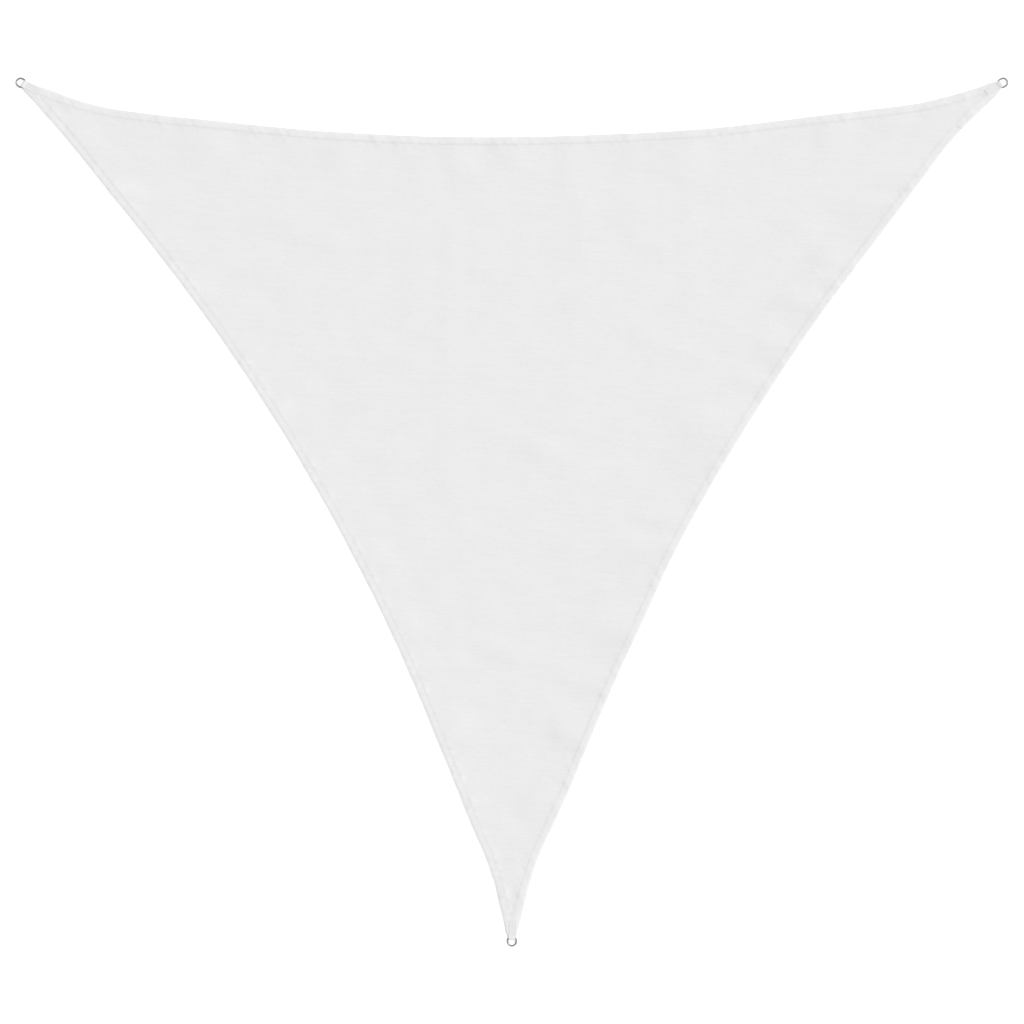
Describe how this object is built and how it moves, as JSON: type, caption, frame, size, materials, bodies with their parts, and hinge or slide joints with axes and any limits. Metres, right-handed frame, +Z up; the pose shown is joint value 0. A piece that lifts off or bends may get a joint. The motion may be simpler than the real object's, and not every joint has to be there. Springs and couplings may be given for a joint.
{
  "type": "shade sail",
  "caption": "Triangular shade sail of knitted sun cloth, laid flat, with drawn-in hemmed sides and a webbing loop and D ring at each corner.",
  "frame": {"origin": "on the ground, at the middle of the sail's outline box", "axes": "+Z up, square to the cloth's face; +X along the top side towards the right corner; +Y from the foot corner towards the top side"},
  "size_m": [3.6018, 3.1534, 0.0092],
  "materials": {
    "sun_cloth": "white knitted sun cloth, matt, with fine rows",
    "webbing": "white woven webbing, matt",
    "ring_steel": "plain stainless wire, satin"
  },
  "bodies": {
    "root": {"sail_cloth": "sun_cloth", "corner_loop_left": "webbing", "corner_loop_right": "webbing", "corner_loop_foot": "webbing", "ring_left": "ring_steel", "ring_right": "ring_steel", "ring_foot": "ring_steel"}
  },
  "joints": []
}
